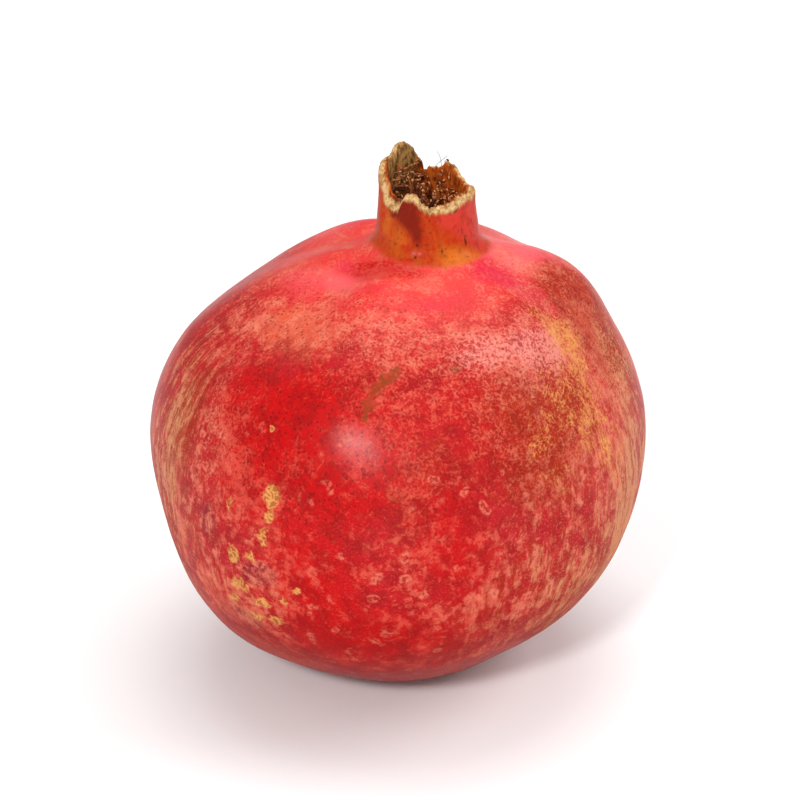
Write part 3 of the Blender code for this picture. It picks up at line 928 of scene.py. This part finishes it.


# The torn edge and the inside of the cup, with fibres that run up it, and painted plum shade low in the cup's
# left side
def crownOver(p, s, colour):
    t = tubeColours
    fromCrest = p.painted("fromCrest")
    upright = p.vector("MULTIPLY", s.place, (1, 1, 0.35))
    s.fibres = p.noise(upright, 0.75, 3, 0.7)
    s.fineFibres = p.noise(upright, 0.35, 2, 0.6)
    straw = p.mix(t["strawShade"], t["straw"], p.step(s.fibres + 0.5 * s.fineFibres, 0.5, 0.85))
    straw = p.mix(straw, t["strawShade"], p.step(p.noise(s.place, 1.3, 3, 0.65), 0.46, 0.62) * 0.7)
    fibred = p.step(s.fibres, 0.36, 0.62)
    cup = p.mix(t["darkRust"], t["rust"], fibred)
    cup = p.mix(cup, t["flap"], p.step(p.noise(s.place, 0.55, 2, 0.6), 0.6, 0.7) * 0.6)
    flap = p.mix(t["flapShade"], t["flap"], fibred)
    cup = p.mix(cup, flap, p.step(p.painted("flap") + 0.5 * s.patchy, 0.45, 1.0))
    # painted shade: plum low in the cup's left side
    cup = p.mix(cup, t["plumShade"], p.step(p.painted("plumShade") + 0.5 * s.patchy, 0.4, 0.95) * 0.85)
    outer = p.step(fromCrest + 1.5 * s.fibres, 2.5, 1.5) * (1.0 - s.inside)
    inner = p.step(fromCrest + 2.0 * s.fibres, 0.1, 1.0) * s.inside
    s.dry = outer + s.inside
    colour = p.mix(p.mix(colour, cup, s.inside), straw, outer + inner)
    return p.mix(colour, t["darkBark"], p.step(p.painted("darkTip") + 0.6 * s.fibres, 0.7, 1.2) * 0.85)


def skinMaterial():
    p = Paint("rind_skin")
    s = skinGround(p)
    colour = netOver(p, s, gapColour(p, s))
    for layer in (flecksOver, lenticelsOver, lesionsOver, scarsOver, tubeOver, crownOver):
        colour = layer(p, s, colour)
    rough = 0.27 + 0.14 * s.patchy + 0.12 * s.net + 0.15 * s.tan + 0.2 * s.crumb + 0.2 * s.scar + 0.35 * s.dry
    relief = 0.5 * s.middling + 0.3 * s.patchy + 0.14 * s.net - 0.45 * s.pores + 0.12 * s.grain
    relief = relief + 0.3 * s.crumb + s.dry * (s.fibres + s.fineFibres) * 0.8
    waxy = p.step(s.latitude + 14 * (s.middling - 0.5), -22, 26) * (1.0 - s.dry)
    p.feed("Base Color", colour)
    p.feed("Roughness", rough)
    p.feed("Specular IOR Level", shine["specular"])
    p.feed("Coat Weight", waxy * (1.0 - p.painted("tube") * 0.5) * shine["coat"])
    p.feed("Coat Roughness", shine["coatRoughness"])
    p.feed("Normal", p.bump(relief, shine["bumpStrength"], shine["bumpHeight"]))
    return p.material


fruitSkin = makeFruit()
fruitSkin.data.materials.append(skinMaterial())
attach(fruitSkin, "root")
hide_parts("fruit")
print("fruit skin:", len(fruitSkin.data.vertices), "points")


# The dried stamens in the cup: thin bent threads with anthers, on a matted pad

stamens = {
    "seed": 41,
    "count": 90,
    "wallCount": 360,
    "wallHeight": (0.1, 0.93),
    "wallReach": (1.2, 3.4),
    "wallRise": (1.5, 4.0),
    "footRadius": (1.6, 4.8),
    "topRadius": (1.0, 6.0),
    "height": (4.5, 9.0),
    "tallAzimuth": 168,
    "tallExtra": 6.0,
    "threadRadius": (0.09, 0.16),
    "antherRadius": (0.11, 0.19),
    "antherLength": (0.4, 0.75),
    "curl": 0.7,
    "wallCurl": 0.4,
    "wallRadius": 6.3,
    "wallLean": {"reach": 2.4, "height": 13},
    "antherShare": 0.7,
    "styleRadius": 0.75,
    "styleHeight": 7.0,
    "padRadius": 5.0,
    "padHeight": 1.0,
    "strayRadius": 0.075,
    "strayAnther": (0.2, 0.6),
    # stray threads over the back of the rim: a list of points in millimetres
    "strays": (
        ((8.2, 6.2, 98.6), (8.3, 6.5, 100.2), (8.0, 6.6, 102.2), (7.4, 6.6, 103.4)),
        ((6.8, 6.4, 98.8), (7.2, 6.6, 100.5), (8.6, 6.6, 101.8), (9.4, 6.5, 102.6)),
        ((9.1, 6.0, 98.6), (9.0, 6.3, 100.4), (8.9, 6.5, 101.4), (9.3, 6.5, 101.8)),
    ),
    "colours": {
        "shade": rgb(84, 34, 16),
        "rust": rgb(158, 84, 34),
        "anther": rgb(204, 142, 98),
        # painted shade on the stamens low in the cup's left side
        "plumShade": rgb(64, 22, 32),
        "stray": rgb(176, 172, 160),
    },
}


# Round tubes gathered in one mesh, each with a shade of its own
class Tubes:
    def __init__(self, sides):
        self.sides = sides
        self.vertices, self.faces, self.shades = [], [], []

    def add(self, path, radii, shade):
        path = [Vector(point) for point in path]
        first = len(self.vertices)
        side = Vector((1, 0.3, 0.2))
        for index, point in enumerate(path):
            ahead = path[min(index + 1, len(path) - 1)] - path[max(index - 1, 0)]
            across = ahead.cross(side).normalized()
            other = ahead.cross(across).normalized()
            for step in range(self.sides):
                turn = 2 * math.pi * step / self.sides
                out = across * math.cos(turn) + other * math.sin(turn)
                self.vertices.append(point + out * radii[index])
                self.shades.append(shade)
        for ring in range(len(path) - 1):
            low = first + ring * self.sides
            high = low + self.sides
            for step in range(self.sides):
                ahead = (step + 1) % self.sides
                self.faces.append((low + step, low + ahead, high + ahead, high + step))
        self.faces.append(tuple(range(first + self.sides - 1, first - 1, -1)))
        last = first + (len(path) - 1) * self.sides
        self.faces.append(tuple(range(last, last + self.sides)))

    def mesh(self, name):
        mesh = bpy.data.meshes.new(name)
        mesh.from_pydata([tuple(v * mm) for v in self.vertices], [], self.faces)
        mesh.attributes.new("shade", "FLOAT", "POINT").data.foreach_set("value", self.shades)
        mesh.shade_smooth()
        return mesh


# A smooth line through a few points
def curve(points, count):
    points = [Vector(p) for p in points]
    padded = [points[0] * 2 - points[1]] + points + [points[-1] * 2 - points[-2]]
    made = []
    for index in range(len(points) - 1):
        a, b, c, d = padded[index:index + 4]
        for step in range(count):
            t = step / count
            made.append(0.5 * (2 * b + (c - a) * t + (2 * a - 5 * b + 4 * c - d) * t**2
                               + (3 * b - a - 3 * c + d) * t**3))
    return made + [points[-1]]


# A small bean on the end of a thread
def addAnther(tubes, tip, ahead, radius, length, shade=1.0):
    ahead = ahead.normalized()
    shares = (0.0, 0.18, 0.5, 0.82, 1.0)
    swell = (0.35, 0.85, 1.0, 0.85, 0.3)
    path = [tip + ahead * length * (share - 0.15) for share in shares]
    tubes.add(path, [radius * s for s in swell], shade)


def addDrawnAnther(tubes, draw, path, droop):
    radius = draw.uniform(*stamens["antherRadius"])
    length = draw.uniform(*stamens["antherLength"])
    addAnther(tubes, path[-1], path[-1] - path[-2] + droop, radius, length)


def scatter(draw, across, up, drop=0.0):
    return Vector((draw.gauss(0, across), draw.gauss(0, across), draw.gauss(drop, up)))


# A bent thread from the cup's floor
def addFloorStamen(tubes, draw, middle, index):
    k = stamens
    azimuth = 360 * (index + draw.random()) / k["count"] * 7 % 360
    near = nearness(azimuth, k["tallAzimuth"])
    height = draw.uniform(*k["height"]) + k["tallExtra"] * near * draw.random()
    foot = draw.uniform(*k["footRadius"])
    top = draw.uniform(*k["topRadius"])
    swing = azimuth + draw.gauss(0, 35)
    start = Vector(direction(azimuth, 0)) * foot
    end = Vector(direction(swing, 0)) * top + Vector((0, 0, height))
    points = [start]
    for share in (0.3, 0.6, 0.85):
        points.append(start.lerp(end, share) + scatter(draw, k["curl"], 0.3) * share)
    points.append(end)
    path = [middle + point for point in curve(points, 4)]
    thread = draw.uniform(*k["threadRadius"])
    tubes.add(path, [thread] * len(path), draw.uniform(0.0, 0.75))
    addDrawnAnther(tubes, draw, path, scatter(draw, 0.5, 0.5, -0.2))


# A short thread that leans in from the wall, most with an anther
def addWallStamen(tubes, draw, middle):
    k, lean = stamens, crown["lean"]
    azimuth = draw.uniform(0, 360)
    edge = fruit["rimZ"] + float(roundTable(crown["edge"], np.array(azimuth))) - 1.2 - middle.z
    climb = edge * draw.uniform(*k["wallHeight"])
    wallLean = k["wallLean"]["reach"] * (climb / k["wallLean"]["height"]) ** 3
    wallLean *= math.exp(-(((azimuth - lean["azimuth"]) / lean["spread"]) ** 2))
    radius = k["wallRadius"] + 0.07 * climb - wallLean
    start = Vector((0, 0, climb)) + Vector(direction(azimuth, 0)) * radius
    near = nearness(azimuth, k["tallAzimuth"])
    swing = azimuth + draw.gauss(0, 30)
    reach = draw.uniform(*k["wallReach"]) * (1.1 - 0.7 * climb / edge)
    rise = draw.uniform(*k["wallRise"]) * max(1 - climb / edge, 0.15)
    end = start - Vector(direction(swing, 0)) * reach + Vector((0, 0, rise))
    bend = scatter(draw, k["wallCurl"], k["wallCurl"])
    path = [middle + point for point in curve([start, start.lerp(end, 0.5) + bend, end], 5)]
    thread = draw.uniform(*k["threadRadius"])
    pale = 0.75 if draw.random() < 0.25 + 0.4 * near else draw.uniform(0.0, 0.6)
    tubes.add(path, [thread] * len(path), pale)
    if draw.random() < k["antherShare"]:
        addDrawnAnther(tubes, draw, path, scatter(draw, k["wallCurl"], k["wallCurl"]))


# The matted pad that the stamens stand on
def addPad(tubes):
    rings, sides = 12, 48
    foot = Vector((fruit["neckShift"], 0, fruit["cupFloorZ"] + 0.05))
    first = len(tubes.vertices)
    for ring in range(rings + 1):
        share = ring / rings
        for side in range(sides):
            turn = 2 * math.pi * side / sides
            place = Vector((math.cos(turn), math.sin(turn), 0)) * stamens["padRadius"] * share
            lump = noise.noise(place * 1.1) * 0.4 + noise.noise(place * 2.7) * 0.2
            place.z = (stamens["padHeight"] + lump) * (1 - share**4)
            tubes.vertices.append(place + foot)
            tubes.shades.append(0.0)
        if ring:
            low = first + (ring - 1) * sides
            for side in range(sides):
                ahead = (side + 1) % sides
                tubes.faces.append((low + side, low + sides + side, low + sides + ahead, low + ahead))


def makeStamens():
    k = stamens
    draw = random.Random(k["seed"])
    tubes = Tubes(6)
    middle = Vector((fruit["neckShift"], 0, fruit["cupFloorZ"] + 0.4))
    for index in range(k["count"]):
        addFloorStamen(tubes, draw, middle, index)
    for index in range(k["wallCount"]):
        addWallStamen(tubes, draw, middle)
    stylePoints = [middle, middle + Vector((0.3, 0.2, 3)), middle + Vector((0.1, 0.6, k["styleHeight"]))]
    style = curve(stylePoints, 5)
    tubes.add(style, [k["styleRadius"] * (1 - 0.45 * i / (len(style) - 1)) for i in range(len(style))], 0.3)
    for points in k["strays"]:
        path = curve(points, 6)
        tubes.add(path, [k["strayRadius"]] * len(path), 2.0)
    addAnther(tubes, Vector(k["strays"][2][-1]), Vector((0.5, 0, -0.4)), *k["strayAnther"], shade=0.0)
    addPad(tubes)
    return addObject("stamen_threads", tubes.mesh("stamen_threads"))


def stamenMaterial():
    p = Paint("stamen_threads")
    c = stamens["colours"]
    place = p.places()
    shade = p.painted("shade")
    speck = p.noise(place, 0.5, 2, 0.6)
    colour = p.mix(c["shade"], c["rust"], p.step(shade + 0.4 * speck, 0.1, 0.8))
    colour = p.mix(colour, c["anther"], p.step(shade + 0.5 * speck, 0.95, 1.25))
    # painted shade: plum on the stamens low on the cup's left side
    shadedSide = p.step(p.axis(place, 0), fruit["neckShift"] + 0.5, fruit["neckShift"] - 3.0)
    low = p.step(p.axis(place, 2), 99.0, 95.0)
    colour = p.mix(colour, c["plumShade"], shadedSide * low * 0.85)
    colour = p.mix(colour, c["stray"], p.step(shade, 1.6, 1.9))
    p.feed("Base Color", colour)
    p.feed("Roughness", 0.7 + 0.2 * speck)
    p.feed("Specular IOR Level", 0.25)
    p.feed("Normal", p.bump(speck, 0.4, 0.1))
    return p.material


stamenThreads = makeStamens()
stamenThreads.data.materials.append(stamenMaterial())
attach(stamenThreads, "root")
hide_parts("stamens")
print("stamens:", len(stamenThreads.data.vertices), "points")


# The stub of the stalk underneath: fluted bark and a cut end with rings

stalk = {
    "radius": 3.25,
    "cutZ": 0.95,
    "topZ": 5.2,
    "edge": 0.3,
    "fluting": 0.14,
    "flutes": 9,
    "segments": 72,
    "sideRings": 24,
    "faceRings": 14,
    "ringCount": 34.0,
    "colours": {
        "wood": rgb(196, 160, 106),
        "woodRing": rgb(150, 110, 66),
        "pith": rgb(92, 62, 36),
        "barkShade": rgb(82, 58, 36),
        "bark": rgb(148, 116, 76),
    },
}


def makeStalk():
    k = stalk
    face = [(share * (k["radius"] - k["edge"]), k["cutZ"]) for share in np.linspace(0.06, 1, k["faceRings"])]
    corner = bezier(face[-1], (k["radius"] - 0.1, k["cutZ"]), (k["radius"], k["cutZ"] + 0.1),
                    (k["radius"], k["cutZ"] + k["edge"]), 4)
    side = [(k["radius"], z) for z in np.linspace(k["cutZ"] + k["edge"], k["topZ"], k["sideRings"])[1:]]
    profile = np.vstack([face, corner, side, [(0.3, k["topZ"])]])[::-1]
    azimuths = np.linspace(0, 360, k["segments"], endpoint=False)
    radius, height, plain = turned(profile, azimuths)
    turn = np.radians(azimuths)
    outer = eased(radius, 0.4 * k["radius"], k["radius"])
    flute = k["fluting"] * (np.cos(k["flutes"] * turn + 0.6 * np.sin(2 * turn)) - 0.9) * outer
    rough = 0.1 * (noiseAt(plain * (1, 1, 0.4), 1.6, 21) - 0.5) * outer
    points = plain.copy()
    points[..., :2] *= (1 + (flute + rough) / np.maximum(radius, 0.5))[..., None]
    onFace = height < k["cutZ"] + 0.01
    points[..., 2] += onFace * 0.07 * noiseAt(plain, 2.5, 22)
    mesh = gridMesh("stalk_stub", points)
    paintOn(mesh, "fromMiddle", radius / k["radius"])
    paintOn(mesh, "cutFace", 1 - eased(height, k["cutZ"] + 0.05, k["cutZ"] + k["edge"]))
    return addObject("stalk_stub", mesh)


def stalkMaterial():
    p = Paint("stalk_stub")
    c = stalk["colours"]
    place = p.places()
    outward = p.painted("fromMiddle")
    cut = p.painted("cutFace")
    grain = p.noise(place, 0.6, 3, 0.65)
    ringNoise = p.noise(p.vector("MULTIPLY", place, (0.3, 0.3, 1)), 1.0, 2)
    wave = outward * stalk["ringCount"] + 5.0 * ringNoise
    rings = p.node("Math", {"operation": "SINE"}, {0: wave}) * 0.5 + 0.5
    wood = p.mix(c["wood"], c["woodRing"], rings * 0.6 + grain * 0.4)
    wood = p.mix(wood, c["pith"], p.step(outward, 0.16, 0.06))
    barkTone = p.noise(p.vector("MULTIPLY", place, (1, 1, 0.25)), 0.8, 3, 0.6)
    bark = p.mix(c["barkShade"], c["bark"], p.step(barkTone, 0.38, 0.64))
    rim = p.step(outward + 0.1 * grain, 0.88, 0.95)
    p.feed("Base Color", p.mix(bark, wood, cut * (1.0 - rim)))
    p.feed("Roughness", 0.75 + 0.15 * grain)
    p.feed("Normal", p.bump(grain * 0.6 + rings * cut * 0.4 + barkTone, 0.5, 0.15))
    return p.material


stalkStub = makeStalk()
stalkStub.data.materials.append(stalkMaterial())
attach(stalkStub, "root")
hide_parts("stalk")
print("stalk stub:", len(stalkStub.data.vertices), "points")


# Stage: a pale floor and soft studio light

stage = {
    "floorSize": 6.0,
    "floorColour": (0.96, 0.96, 0.96, 1.0),
    "worldColour": (1.0, 1.0, 1.0, 1.0),
    "worldStrength": 0.44,
    "lightsAim": (0, 0, 45 * mm),
    # azimuth, elevation, distance, size, power
    "lights": {
        "key": (-108, 34, 0.9, 0.13, 4.0),
        "overhead": (87, 76, 1.8, 1.5, 16.0),
        "rightTop": (2, 40, 1.2, 0.7, 5.0),
        "front": (-95, 30, 1.6, 1.0, 1.7),
    },
}


def addStage():
    side = stage["floorSize"] / 2
    mesh = bpy.data.meshes.new("floor")
    corners = [(-side, -side, 0), (side, -side, 0), (side, side, 0), (-side, side, 0)]
    mesh.from_pydata(corners, [], [(0, 1, 2, 3)])
    floor = addObject("floor", mesh)
    p = Paint("floor")
    p.feed("Base Color", stage["floorColour"])
    p.feed("Roughness", 0.9)
    p.feed("Specular IOR Level", 0.1)
    mesh.materials.append(p.material)
    world = bpy.data.worlds.new("studio")
    world.use_nodes = True
    background = world.node_tree.nodes["Background"]
    background.inputs["Color"].default_value = stage["worldColour"]
    background.inputs["Strength"].default_value = stage["worldStrength"]
    bpy.context.scene.world = world
    middle = Vector(stage["lightsAim"])
    for name, (azimuth, elevation, distance, size, power) in stage["lights"].items():
        data = bpy.data.lights.new(name, "AREA")
        data.shape = "DISK"
        data.size = size
        data.energy = power
        lamp = addObject(name, data)
        lamp.location = middle + Vector(direction(azimuth, elevation)) * distance
        lamp.rotation_euler = (middle - lamp.location).to_track_quat("-Z", "Y").to_euler()
    bpy.context.scene.view_settings.view_transform = "Standard"


addStage()
print("stage and lights placed")
